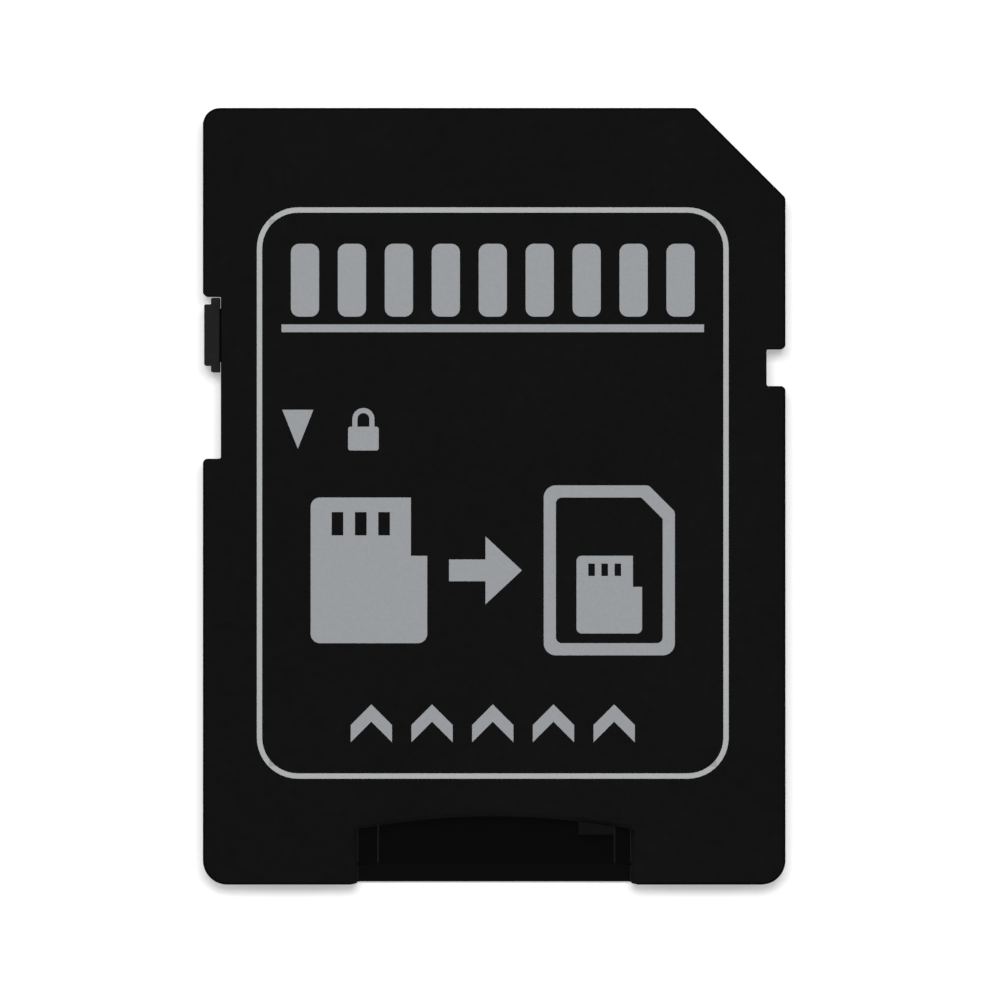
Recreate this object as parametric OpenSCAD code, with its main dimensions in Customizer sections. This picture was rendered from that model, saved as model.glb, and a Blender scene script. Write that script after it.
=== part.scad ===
// Adapter that lets a small memory card be used in a slot made for the full-size one.
// Two moulded shells meet at a parting plane and hold eight stamped contact strips, the carrier that
// clamps them, and a sliding lock tab. The printed panel is a thin film of ink on the label face.
//
// Millimetres. X runs across the width, Y from the mouth end to the contact end, and Z from the back
// face, where the contacts are, up to the label face. The origin is the middle of the back face.

/* [Body] */
// Width across the two long sides
body_w = 24; // [23:0.1:28]
// Length from the mouth end to the contact end
body_l = 32; // [31:0.1:38]
// Thickness from the back face to the label face
body_t = 2.1; // [2.05:0.01:2.5]
// Leg of the slanted corner at the contact end
corner_cut = 3.7; // [2.5:0.1:4]
// Radius of the square corner at the contact end
head_r = 0.7; // [0.3:0.05:1.2]
// Radius of the two corners at the mouth end
tail_r = 1.0; // [0.5:0.05:1.4]
// Radius where the slanted corner meets the sides
cut_r = 0.25; // [0.15:0.05:0.6]
// Size of the small slope that takes the sharp edge off both faces
edge_break = 0.1; // [0.04:0.01:0.14]
// Width of the step along each long side of the back face
rail_w = 0.78; // [0.76:0.01:1]
// Thickness of the guide rail above that step
rail_t = 1.4; // [1.3:0.01:1.5]
// Length of the full-thickness block at the mouth end
tail_block = 3; // [1.6:0.1:6]

/* [Shells] */
// Depth of the front cover, from the parting plane to the label face
cover_h = 0.7; // [0.62:0.01:0.8]
// Thickness of the front cover's skin
skin_t = 0.55; // [0.4:0.01:0.58]
// Thickness of the back shell's wall beside the rail step and at the contact end
wall_t = 0.6; // [0.45:0.05:0.75]
// Thickness of the wall at the mouth end
tail_wall = 0.9; // [0.6:0.05:1.4]
// Diameter of the four posts that align the shells
post_d = 0.8; // [0.5:0.05:1]
// Distance of the rear posts from the mouth end
post_rear = 3; // [2.4:0.1:4]
// Distance of the front posts from the card stop
post_from_stop = 2.1; // [1.6:0.1:4]
// Wall of the socket round each post
socket_wall = 0.45; // [0.3:0.05:0.6]
// Thickness of the stiffening ribs beside the card bay
rib_t = 0.5; // [0.3:0.05:0.8]
// Number of stiffening ribs on each side of the card bay
rib_n = 3; // [1:1:4]
// Diameter of the dimple where the back shell was filled in its mould
gate_d = 1.4; // [0.8:0.1:2]
// Depth of that dimple
gate_depth = 0.08; // [0.04:0.01:0.12]
// Distance from the contact end to that dimple
gate_from_head = 12; // [9:0.1:14]
// Diameter of the two pegs that locate the carrier
peg_d = 0.7; // [0.4:0.05:0.8]
// Clearance between pieces that are pushed together
push_fit = 0.04; // [0.02:0.01:0.08]

/* [Card bay] */
// Width of the bay that takes the small card
bay_w = 11.3; // [11.1:0.05:12]
// Depth of the bay, from the mouth end to the card stop
bay_l = 15.1; // [14.6:0.1:15.6]
// Thickness of the bay's side walls
bay_wall = 0.5; // [0.35:0.05:0.8]
// Width of the runner on the lock side
runner_lock_w = 0.85; // [0.4:0.01:1.1]
// Width of the runner on the other side
runner_free_w = 0.68; // [0.4:0.01:1.1]
// Drop from the runners to the channel floor
channel_drop = 0.15; // [0.05:0.01:0.2]
// Length of the sloping lead-in at the mouth
ramp_l = 0.72; // [0.4:0.01:1.2]
// Thickness of the lip that the lead-in runs down to
lip_t = 0.35; // [0.25:0.01:0.45]
// Length of the recess that the spring tips dip into
recess_l = 4.6; // [4.2:0.1:6]
// Thickness of the floor under that recess
recess_floor = 0.3; // [0.2:0.01:0.4]

/* [Mouth] */
// Distance that the mouth's edge is set back from the end
mouth_inset = 0.08; // [0.05:0.01:0.3]
// Length of the slanted ends of the set-back edge
mouth_slope = 0.38; // [0.1:0.01:0.8]
// Distance from the bay's sides to the inner end of those slants
mouth_slope_from_bay = 0.1; // [0.02:0.01:0.3]
// Depth of the thumb notch in the cover, from the mouth's edge to its deepest point
notch_l = 2.74; // [1.8:0.01:4]
// Radius of the notch's curved inner edge
notch_r = 30; // [12:0.5:60]
// Slope along the notch's edges
notch_break = 0.16; // [0.05:0.01:0.25]
// Width of the small keeper tab under the notch's edge
tab_w = 1.47; // [0.8:0.01:2]
// Distance from the bay's free side to the keeper tab
tab_from_bay = 0.72; // [0.3:0.01:3]
// Distance from the mouth's edge to the keeper tab
tab_from_mouth = 1.98; // [1.4:0.01:2.2]
// Drop of the keeper tab below the label face
tab_drop = 0.2; // [0.1:0.01:0.3]

/* [Lock slider] */
// Distance from the contact end to the slider's window
window_from_head = 7.77; // [7.4:0.01:9]
// Length of the window
window_l = 6.68; // [6.4:0.01:7]
// Depth of the window, in from the side
window_d = 0.74; // [0.6:0.01:0.75]
// Length of the slider's base
slider_l = 3.07; // [2.8:0.01:3.2]
// Length of the slider's knob
knob_l = 2.53; // [1.6:0.01:2.7]
// Distance of the knob's face from the body's side
knob_inset = 0.05; // [0.02:0.01:0.15]
// Distance of the base's face from the body's side
base_inset = 0.33; // [0.25:0.01:0.4]
// Distance of the slider's top and bottom from the faces of the rail
slider_drop = 0.1; // [0.05:0.01:0.2]
// Radius of the slider's outer corners
slider_r = 0.08; // [0.03:0.01:0.12]
// Radius of the window's outer corners
window_r = 0.2; // [0.05:0.01:0.3]
// Radius of the fillets in the inner corners of the window and the side notch
inner_r = 0.08; // [0.03:0.01:0.12]
// Running clearance round the slider
slider_fit = 0.05; // [0.03:0.01:0.08]
// Length of the neck that passes through the slit in the wall
neck_l = 2.2; // [1.5:0.05:2.4]
// Height of the neck
neck_h = 0.24; // [0.15:0.01:0.26]
// Length of the keeper behind the wall
keeper_l = 2.8; // [2.5:0.05:3]
// Thickness of that keeper
keeper_t = 0.5; // [0.35:0.01:0.55]
// Thickness of the rib that guides the keeper
guide_t = 0.4; // [0.3:0.01:0.5]

/* [Side notch] */
// Distance from the contact end to the notch in the right-hand rail
side_notch_from_head = 9.94; // [7:0.01:14]
// Length of that notch
side_notch_l = 1.52; // [0.8:0.01:3]
// Radius of its outer corners
side_notch_r = 0.2; // [0.1:0.01:0.5]

/* [Contacts] */
// Thickness of the contact strip
strip_t = 0.15; // [0.1:0.01:0.18]
// Distance from the body's side to the middle of the corner pad
corner_pad_from_side = 2.625; // [2.5:0.005:2.8]
// Distance from the body's other side to the middle of the last narrow pad
last_pad_from_side = 2.25; // [2.1:0.005:2.4]
// Gap between the large pads
pad_gap = 0.55; // [0.4:0.01:0.8]
// Distance between the middles of the two narrow pads
narrow_pitch = 1.7; // [1.5:0.01:1.9]
// Gap between the two narrow pads
narrow_gap = 0.4; // [0.3:0.01:0.6]
// Distance from the last large pad to the first narrow one
narrow_first = 2.425; // [2.2:0.005:2.6]
// Length of the pads
pad_l = 4; // [3:0.05:4.2]
// Distance from the contact end to the pads
pad_from_head = 1.1; // [0.9:0.01:1.4]
// Distance that the corner pad lies further back
corner_pad_back = 2; // [1.9:0.01:2.3]
// Width of the ledge on each side that a pad's edge rests on
pad_ledge = 0.125; // [0.08:0.005:0.2]
// Length of the ledge that a pad's end rests on
pad_end_ledge = 0.2; // [0.1:0.01:0.4]
// Width of the strips between pads and springs
strip_w = 0.5; // [0.3:0.01:0.6]
// Distance from the bay's free side to the middle of the first spring
first_spring_from_bay = 2.875; // [2.6:0.005:3.1]
// Distance from the bay's lock side to the middle of the last spring
last_spring_from_bay = 0.725; // [0.65:0.005:0.9]
// Gap between the springs
spring_gap = 0.5; // [0.4:0.01:0.7]
// Distance from the card stop to the spring's crown
spring_reach = 2.5; // [1.8:0.05:2.8]
// Height of the crown above the bay's runners
spring_rise = 0.3; // [0.15:0.01:0.4]
// Length of the down-turned spring tip
tip_l = 0.7; // [0.4:0.01:0.9]
// Clearance under the spring tip
tip_clear = 0.25; // [0.15:0.01:0.35]
// Clearance beside the outer springs in their recess
recess_side = 0.3; // [0.15:0.01:0.35]
// Straight length of the strips before they fan out
root_l = 2.9; // [2.2:0.05:3.2]
// Straight length of the strips behind the pads
pad_neck_l = 0.9; // [0.6:0.05:1.4]
// Height of the ground strip's bridge over its neighbours
bridge_rise = 0.32; // [0.25:0.01:0.4]
// Distance from the carrier's plate to the bridge
bridge_back = 0.5; // [0.3:0.01:0.8]
// Length of each foot of the bridge
bridge_foot = 0.9; // [0.7:0.01:1.1]
// Clearance of a strip in its groove
strip_fit = 0.04; // [0.02:0.01:0.08]

/* [Carrier] */
// Width of the bar that clamps the springs' roots and stops the card
stop_bar = 1.6; // [1.2:0.05:2]
// Width of the carrier's two side arms
arm_w = 1; // [0.6:0.05:1.4]
// Distance of the arms from the shell's inner wall
arm_from_wall = 1.35; // [1.2:0.05:2]
// Gap between the arms and the strips under them
arm_gap = 0.12; // [0.06:0.01:0.2]

/* [Print] */
// Thickness of the ink
ink_t = 0.02; // [0.01:0.005:0.05]
// Distance from the body's lock side to the printed frame
frame_from_lock = 2.225; // [1.6:0.005:2.6]
// Distance from the body's other side to the printed frame
frame_from_free = 2.344; // [1.6:0.001:2.6]
// Distance from the contact end to the printed frame
frame_from_head = 4.1; // [3.8:0.01:4.6]
// Distance from the mouth end to the printed frame
frame_from_tail = 4.37; // [4:0.01:4.8]
// Outer radius of the frame's corners
frame_r = 1.69; // [0.8:0.01:3]
// Width of the frame's line
frame_line = 0.217; // [0.1:0.001:0.5]
// Width of the lock arrow
arrow_w = 1.284; // [0.8:0.001:1.8]
// Length of the lock arrow
arrow_l = 1.605; // [0.8:0.005:2.4]
// Distance from the frame's left edge to the lock arrow
arrow_from_frame = 1.045; // [0.6:0.005:1.5]
// Distance from the frame's top edge to the lock arrow
arrow_from_top = 8.335; // [7.6:0.005:9]
// Height of the padlock mark
padlock_h = 1.75; // [1.5:0.01:2.2]
// Width of the padlock's case
padlock_w = 1.26; // [1:0.01:1.8]
// Height of the padlock's case
padlock_case_h = 0.98; // [0.6:0.01:1]
// Width of the padlock's bow
padlock_bow_w = 0.91; // [0.6:0.01:0.98]
// Line width of the padlock's bow
padlock_line = 0.21; // [0.1:0.01:0.28]
// Distance from the lock arrow's middle to the padlock mark's middle
padlock_from_arrow = 2.7; // [1.8:0.01:4]
// Number of bars in the comb mark
comb_n = 9; // [5:1:12]
// Distance from the frame's sides to the comb mark
comb_margin = 1.015; // [0.6:0.005:2]
// Height of the comb mark's bars
comb_h = 3; // [1.6:0.1:3.6]
// Width of those bars
comb_bar_w = 1.16; // [0.8:0.01:1.2]
// Radius of their corners
comb_bar_r = 0.35; // [0.1:0.01:0.39]
// Width of the rule under the bars, and of the gap above it
comb_rule = 0.32; // [0.1:0.01:0.5]
// Distance from the frame's top edge to the comb mark
comb_from_top = 1.5; // [0.8:0.01:2.4]
// Width of the picture of the card and its adapter
picture_w = 15; // [12:0.1:16]
// Height of that picture
picture_h = 7; // [5:0.1:8]
// Distance from the frame's top edge to the picture
picture_from_top = 11.45; // [11:0.01:12.4]
// Line width in the picture
picture_line = 0.5; // [0.3:0.01:0.8]
// Width of the small card in that picture
small_card_w = 4.8; // [3.6:0.1:5]
// Height of the small card in that picture
small_card_h = 6; // [4:0.1:8]
// Width of the adapter in that picture
host_w = 5.4; // [4.6:0.1:6]
// Length of the arrow between them
side_arrow_w = 3; // [1:0.1:3.6]
// Height of that arrow's head
side_arrow_h = 2.8; // [1.4:0.1:4]
// Width of the card that is drawn inside the adapter
inner_card_w = 2.7; // [2:0.1:3.4]
// Height of the card that is drawn inside the adapter
inner_card_h = 3.2; // [2:0.1:3.8]
// Distance of that card's middle from the adapter's middle
inner_card_drop = 1; // [0.6:0.05:1.2]
// Number of arrowheads that point into the adapter
chevron_n = 5; // [3:1:7]
// Width of each arrowhead
chevron_w = 1.7; // [1:0.01:2]
// Height of each arrowhead's arms
chevron_line = 0.71; // [0.3:0.01:0.9]
// Distance between the arrowheads' middles
chevron_pitch = 2.5; // [2.2:0.01:2.6]
// Distance from the frame's lower edge to the arrowheads
chevron_from_edge = 1.5; // [0.8:0.01:2]

/* [Hidden] */

LARGE_PADS = 6;
SPRINGS = 8;
// The pad that each spring's strip leads to, counted from the slanted corner
STRIP_PADS = [0, 1, 2, 4, 5, 6, 7, 8];
GROUND_STRIP = 5;
SECOND_GROUND_PAD = 3;
SPRING_STEPS = 6;
TIP_STEPS = 3;
// Shares of a drawn card's width and length: corners, slanted corner, side step and contact marks
CARD_ROUND = 0.08;
CARD_CUT = 0.2;
CARD_STEP_W = 0.14;
CARD_STEP_L = 0.4;
CARD_MARK_W = 0.1;
CARD_MARK_L = 0.16;
CARD_MARK_FROM_TOP = 0.1;
// Share of a drawn arrow's height that its shaft takes
ARROW_SHAFT = 0.32;
ROUND = 48;
WIDE_ROUND = 360;
OVER = 1;
// How far the waste along a straight rim runs on into the rounded corners, so that no fin is left
RIM_LAP = 0.05;

side_x = body_w / 2;
head_y = body_l / 2;
tail_y = -body_l / 2;
mouth_y = tail_y + mouth_inset;
core_x = side_x - rail_w;
step_z = body_t - rail_t;
parting_z = body_t - cover_h;
roof_z = body_t - skin_t;
cavity_x = core_x - wall_t;
cavity_tail = tail_y + tail_wall;
cavity_head = head_y - wall_t;
cut_sum = side_x + head_y - corner_cut;
cavity_cut_sum = cut_sum - wall_t * sqrt(2);

bay_x = bay_w / 2;
stop_y = tail_y + bay_l;
notch_apex = mouth_y + notch_l;
notch_sag = notch_r - sqrt(notch_r * notch_r - bay_x * bay_x);
channel_z = step_z - channel_drop;
bay_wall_x = bay_x + bay_wall;

window_top = head_y - window_from_head;
window_low = window_top - window_l;
window_x = -side_x + window_d;
slider_top = window_top - slider_fit;
slider_y = slider_top - slider_l / 2;
slider_travel = window_l - slider_l - 2 * slider_fit;
slit_z = parting_z - neck_h - 2 * slider_fit;
keeper_x = -cavity_x + slider_fit;
guide_x = keeper_x + keeper_t + slider_fit;

side_notch_top = head_y - side_notch_from_head;
side_notch_low = side_notch_top - side_notch_l;

post_x = (bay_wall_x + cavity_x) / 2;
post_places = [for (x = [-post_x, post_x], y = [tail_y + post_rear, stop_y - post_from_stop]) [x, y]];
socket_d = post_d + 2 * push_fit;
boss_d = socket_d + 2 * socket_wall;

pad_head = head_y - pad_from_head;
pad_tail = pad_head - pad_l;
corner_x = side_x - corner_pad_from_side;
narrow_x = -side_x + last_pad_from_side + narrow_pitch;
pad_pitch = (corner_x - narrow_x - narrow_first) / LARGE_PADS;
pad_w = pad_pitch - pad_gap;
narrow_w = narrow_pitch - narrow_gap;
fan_start = stop_y + root_l;
fan_end = pad_tail - pad_neck_l;
strip_top = step_z + strip_t;

// Each pad as [middle in X, width, set back in Y], from the slanted corner to the lock side
corner_pad = [corner_x, pad_w, corner_pad_back];
large_pads = [for (i = [1 : LARGE_PADS]) [corner_x - i * pad_pitch, pad_w, 0]];
narrow_pads = [for (i = [0 : 1]) [narrow_x - i * narrow_pitch, narrow_w, 0]];
all_pads = concat([corner_pad], large_pads, narrow_pads);

// The springs lie side by side, from the free side of the bay to the lock side
first_spring_x = bay_x - first_spring_from_bay;
last_spring_x = -bay_x + last_spring_from_bay;
spring_pitch = (first_spring_x - last_spring_x) / (SPRINGS - 1);
spring_w = spring_pitch - spring_gap;
function spring_x(i) = first_spring_x - i * spring_pitch;

// The outline helpers take corners as [x, y, radius], listed counter-clockwise.
function place(c) = [c[0], c[1]];
function next_of(corners, i) = corners[(i + 1) % len(corners)];
function before(corners, i) = (i + len(corners) - 1) % len(corners);
function unit(v) = v / norm(v);
function heading(corners, i) = unit(place(next_of(corners, i)) - place(corners[i]));
function turn_between(p, q) = atan2(p[0] * q[1] - p[1] * q[0], p[0] * q[0] + p[1] * q[1]);
function turn(corners, i) = turn_between(heading(corners, before(corners, i)), heading(corners, i));
function reach(corners, i) = corners[i][2] * tan(turn(corners, i) / 2);
function inward(v) = [-v[1], v[0]];
function round_middle(corners, i) =
    place(corners[i]) + heading(corners, i) * reach(corners, i)
    + inward(heading(corners, i)) * corners[i][2];

body_corners = [
    [-side_x, tail_y, tail_r],
    [side_x, tail_y, tail_r],
    [side_x, head_y - corner_cut, cut_r],
    [side_x - corner_cut, head_y, cut_r],
    [-side_x, head_y, head_r]];

core_corners = [
    [-core_x, tail_y + tail_r, 0],
    [core_x, tail_y + tail_r, 0],
    [core_x, cut_sum - core_x, 0],
    [cut_sum - head_y, head_y, cut_r],
    [-core_x, head_y, 0]];

block_corners = [
    [-side_x, tail_y, tail_r],
    [side_x, tail_y, tail_r],
    [side_x, tail_y + tail_block, 0],
    [-side_x, tail_y + tail_block, 0]];

cavity_corners = [
    [-cavity_x, cavity_tail, cut_r],
    [cavity_x, cavity_tail, cut_r],
    [cavity_x, cavity_cut_sum - cavity_x, 0],
    [cavity_cut_sum - cavity_head, cavity_head, 0],
    [-cavity_x, cavity_head, cut_r]];

// What a rounded corner takes off its sharp one
module corner_waste(corners, i) {
    at = place(corners[i]);
    middle = round_middle(corners, i);
    back = heading(corners, before(corners, i)) * reach(corners, i);
    ahead = heading(corners, i) * reach(corners, i);
    difference() {
        polygon([2 * at - middle, at + ahead, middle, at - back]);
        translate(middle) circle(r = corners[i][2], $fn = ROUND);
    }
}

// Flat shape with true arcs at its corners
module outline(corners) {
    difference() {
        polygon([for (c = corners) place(c)]);
        for (i = [0 : len(corners) - 1]) if (corners[i][2] > 0) corner_waste(corners, i);
    }
}

module plate(corners, low, high) {
    translate([0, 0, low]) linear_extrude(high - low) outline(corners);
}

module block(low, high) {
    translate(low) cube(high - low);
}

// The waste that slopes the upper rim of an outline, c wide, with the rim at z = 0
module rim_waste(corners, c) {
    for (i = [0 : len(corners) - 1]) {
        ahead = heading(corners, i);
        from = place(corners[i]) + ahead * reach(corners, i);
        to = place(next_of(corners, i)) - ahead * reach(corners, (i + 1) % len(corners));
        translate(from - ahead * RIM_LAP) rotate(atan2(ahead[1], ahead[0]))
            edge_waste(norm(to - from) + 2 * RIM_LAP, c);
        if (corners[i][2] > 0) {
            back = heading(corners, before(corners, i));
            r = corners[i][2];
            translate(round_middle(corners, i))
                rotate(atan2(-back[0], back[1]))
                rotate_extrude(angle = turn(corners, i), $fn = ROUND)
                polygon([[r - c, 0], [r, -c], [r + c, c]]);
        }
    }
}

// The waste that slopes one straight edge along X, with the body on the +Y side of it and below
module edge_waste(length, c) {
    rotate([90, 0, 90]) linear_extrude(length) polygon([[c, 0], [0, -c], [-c, c]]);
}

// The set-back edge of the mouth, cut through both shells
module mouth_waste() {
    flat = bay_x - mouth_slope_from_bay;
    translate([0, 0, -OVER]) linear_extrude(body_t + 2 * OVER) polygon([
        [-flat - mouth_slope, tail_y], [-flat - mouth_slope, tail_y - OVER],
        [flat + mouth_slope, tail_y - OVER], [flat + mouth_slope, tail_y],
        [flat, mouth_y], [-flat, mouth_y]]);
}

// The slider's window and the notch in the other rail, cut through both rails
module rail_waste() {
    window_upper_lip = [[-side_x, head_y, 0], [-side_x, window_top, window_r], [window_x, window_top, 0]];
    window_lower_lip = [[window_x, window_low, 0], [-side_x, window_low, window_r], [-side_x, tail_y, 0]];
    notch_upper_lip = [[core_x, side_notch_top, 0], [side_x, side_notch_top, side_notch_r],
        [side_x, head_y, 0]];
    notch_lower_lip = [[side_x, tail_y, 0], [side_x, side_notch_low, side_notch_r],
        [core_x, side_notch_low, 0]];
    translate([0, 0, step_z - OVER]) linear_extrude(rail_t + 2 * OVER) {
        outline([[-side_x - OVER, window_low, 0], [window_x, window_low, inner_r],
            [window_x, window_top, inner_r], [-side_x - OVER, window_top, 0]]);
        outline([[core_x, side_notch_low, inner_r], [side_x + OVER, side_notch_low, 0],
            [side_x + OVER, side_notch_top, 0], [core_x, side_notch_top, inner_r]]);
        for (lip = [window_upper_lip, window_lower_lip, notch_upper_lip, notch_lower_lip])
            corner_waste(lip, 1);
    }
}

// The thumb notch's flat shape, with its curved inner edge
module notch_shape() {
    intersection() {
        translate([-bay_x, tail_y - OVER]) square([bay_w, notch_apex - tail_y + 2 * OVER]);
        translate([0, notch_apex - notch_r]) circle(r = notch_r, $fn = WIDE_ROUND);
    }
}

module notch_waste() {
    translate([0, 0, roof_z - OVER]) linear_extrude(skin_t + 2 * OVER) notch_shape();
    intersection() {
        translate([0, notch_apex - notch_r, body_t - notch_break])
            cylinder(r1 = notch_r, r2 = notch_r + 2 * notch_break, h = 2 * notch_break, $fn = WIDE_ROUND);
        block([-bay_x, tail_y - OVER, roof_z], [bay_x, notch_apex + OVER, body_t + OVER]);
    }
    side_l = mouth_inset + notch_l - notch_sag;
    translate([-bay_x, tail_y, body_t]) rotate(90) edge_waste(side_l, notch_break);
    translate([bay_x, tail_y + side_l, body_t]) rotate(-90) edge_waste(side_l, notch_break);
}

module front_cover() color([0.08, 0.08, 0.08]) {
    difference() {
        union() {
            difference() {
                plate(body_corners, parting_z, body_t);
                difference() {
                    plate(cavity_corners, parting_z - OVER, roof_z);
                    keeper_tab(parting_z - 2 * OVER);
                }
                block([-bay_wall_x - push_fit, tail_y - OVER, parting_z - OVER],
                    [bay_wall_x + push_fit, cavity_tail + OVER, roof_z]);
                translate([0, 0, body_t]) rim_waste(body_corners, edge_break);
                notch_waste();
            }
            keeper_tab(roof_z);
            for (p = post_places) translate([p[0], p[1], step_z + 2 * push_fit])
                cylinder(d = post_d, h = body_t - edge_break - step_z - 2 * push_fit, $fn = ROUND);
        }
        mouth_waste();
        rail_waste();
    }
}

// Thin tab that reaches into the notch and keeps the small card down
module keeper_tab(low) {
    tab_x = bay_x - tab_from_bay;
    block([tab_x - tab_w, mouth_y + tab_from_mouth, low], [tab_x, notch_apex, body_t - tab_drop]);
}

// One layer of the back face, with its lower rim sloped
module lower_plate(corners) {
    difference() {
        plate(corners, 0, step_z);
        mirror([0, 0, 1]) rim_waste(corners, edge_break);
    }
}

module back_shell() color([0.09, 0.09, 0.09]) {
    difference() {
        union() {
            difference() {
                union() {
                    lower_plate(core_corners);
                    lower_plate(block_corners);
                    plate(body_corners, step_z, parting_z);
                }
                plate(cavity_corners, step_z, parting_z + OVER);
            }
            bay_walls();
            side_ribs();
            keeper_guide();
            for (p = post_places) translate([p[0], p[1], step_z - push_fit])
                cylinder(d = boss_d, h = parting_z - step_z + push_fit, $fn = ROUND);
            for (s = [-1, 1]) translate([s * peg_x, peg_y, step_z - push_fit])
                cylinder(d = peg_d, h = peg_top - step_z + push_fit, $fn = ROUND);
        }
        for (p = post_places) translate([p[0], p[1], step_z])
            cylinder(d = socket_d, h = roof_z - step_z, $fn = ROUND);
        mouth_waste();
        rail_waste();
        bay_waste();
        slit_waste();
        translate([0, head_y - gate_from_head, -OVER])
            cylinder(d = gate_d, h = OVER + gate_depth, $fn = ROUND);
        for (pad = all_pads) contact_window(pad);
    }
}

module bay_walls() {
    for (x = [-bay_wall_x, bay_x])
        block([x, tail_y, step_z - push_fit], [x + bay_wall, stop_y - push_fit, roof_z]);
}

module side_ribs() {
    pitch = (stop_y - cavity_tail) / (rib_n + 1);
    rib_w = cavity_x - bay_wall_x + 2 * push_fit;
    for (i = [1 : rib_n], x = [-cavity_x - push_fit, bay_wall_x - push_fit])
        block([x, cavity_tail + i * pitch - rib_t / 2, step_z - push_fit],
            [x + rib_w, cavity_tail + i * pitch + rib_t / 2, parting_z]);
}

module keeper_guide() {
    block([guide_x, slider_y - slider_travel - keeper_l / 2, step_z - push_fit],
        [guide_x + guide_t, slider_y + keeper_l / 2, parting_z]);
}

// Room for the small card, with its runners, sunk channel, lead-in and spring recess
module bay_waste() {
    block([-bay_x, tail_y - OVER, step_z], [bay_x, stop_y - push_fit, body_t]);
    block([-bay_x + runner_lock_w, tail_y - OVER, channel_z],
        [bay_x - runner_free_w, stop_y - push_fit, body_t]);
    block([last_spring_x - spring_w / 2 - recess_side, stop_y - recess_l, recess_floor],
        [first_spring_x + spring_w / 2 + recess_side, stop_y - push_fit, body_t]);
    fall = (channel_z - lip_t) / ramp_l;
    translate([-bay_x, 0, 0]) rotate([90, 0, 90]) linear_extrude(bay_w) polygon([
        [mouth_y + ramp_l, channel_z], [mouth_y + ramp_l, body_t], [tail_y - OVER, body_t],
        [tail_y - OVER, channel_z - fall * (ramp_l + mouth_inset + OVER)]]);
}

// Slit in the wall that the slider's neck runs along, open at the parting plane
module slit_waste() {
    block([window_x - OVER, slider_y - slider_travel - neck_l / 2 - slider_fit, slit_z],
        [keeper_x, slider_y + neck_l / 2 + slider_fit, parting_z + OVER]);
}

// Window in the back face through which the card slot of a device reaches a pad
module contact_window(pad) {
    half = pad[1] / 2 - pad_ledge;
    tail = pad_tail - pad[2];
    block([pad[0] - half, tail + pad_end_ledge, -OVER], [pad[0] + half, head_y + OVER, step_z]);
}

module lock_slider() color([0.15, 0.15, 0.15]) {
    back = window_x - slider_fit;
    base = -side_x + base_inset;
    knob = -side_x + knob_inset;
    union() {
        translate([0, 0, step_z + slider_drop]) linear_extrude(rail_t - 2 * slider_drop) outline([
            [back, slider_y - slider_l / 2, 0], [back, slider_y + slider_l / 2, 0],
            [base, slider_y + slider_l / 2, slider_r], [base, slider_y + knob_l / 2, 0],
            [knob, slider_y + knob_l / 2, slider_r], [knob, slider_y - knob_l / 2, slider_r],
            [base, slider_y - knob_l / 2, 0], [base, slider_y - slider_l / 2, slider_r]]);
        block([back - slider_fit, slider_y - neck_l / 2, slit_z + slider_fit],
            [keeper_x + slider_fit, slider_y + neck_l / 2, parting_z - slider_fit]);
        block([keeper_x, slider_y - keeper_l / 2, step_z + slider_fit],
            [keeper_x + keeper_t, slider_y + keeper_l / 2, roof_z - slider_fit]);
    }
}

carrier_top = roof_z - push_fit;
arm_x = cavity_x - arm_from_wall;
plate_y = fan_end + strip_fit;
peg_x = arm_x - stop_bar / 2;
peg_y = stop_y + stop_bar / 2;
peg_top = (strip_top + carrier_top) / 2;
carrier_side = cavity_x - push_fit;
carrier_head = cavity_head - push_fit;
carrier_cut_sum = cavity_cut_sum - push_fit * sqrt(2);

carrier_corners = [
    [-carrier_side, plate_y, 0],
    [carrier_side, plate_y, 0],
    [carrier_side, carrier_cut_sum - carrier_side, 0],
    [carrier_cut_sum - carrier_head, carrier_head, 0],
    [-carrier_side, carrier_head, cut_r]];

// Frame that clamps the strips: a bar over the springs' roots, a plate over the pads, and two arms
module lead_carrier() color([0.2, 0.2, 0.21]) {
    difference() {
        union() {
            plate(carrier_corners, step_z, carrier_top);
            block([-arm_x, stop_y, step_z], [arm_x, stop_y + stop_bar, carrier_top]);
            for (x = [-arm_x, arm_x - arm_w])
                block([x, stop_y, strip_top + arm_gap], [x + arm_w, plate_y + strip_fit, carrier_top]);
        }
        for (pad = all_pads) pad_groove(pad);
        for (i = [0 : SPRINGS - 1])
            block([spring_x(i) - spring_w / 2 - strip_fit, stop_y - OVER, step_z - OVER],
                [spring_x(i) + spring_w / 2 + strip_fit, stop_y + stop_bar + OVER, strip_top + strip_fit]);
        for (s = [-1, 1]) translate([s * peg_x, peg_y, step_z - OVER])
            cylinder(d = peg_d + 2 * push_fit, h = body_t, $fn = ROUND);
    }
}

// Room in the carrier for one pad and the strip that leads to it
module pad_groove(pad) {
    tail = pad_tail - pad[2];
    block([pad[0] - pad[1] / 2 - strip_fit, tail - strip_fit, step_z - OVER],
        [pad[0] + pad[1] / 2 + strip_fit, tail + pad_l + strip_fit, strip_top + strip_fit]);
    block([pad[0] - strip_w / 2 - strip_fit, plate_y - OVER, step_z - OVER],
        [pad[0] + strip_w / 2 + strip_fit, tail + strip_fit, strip_top + strip_fit]);
}

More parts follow.
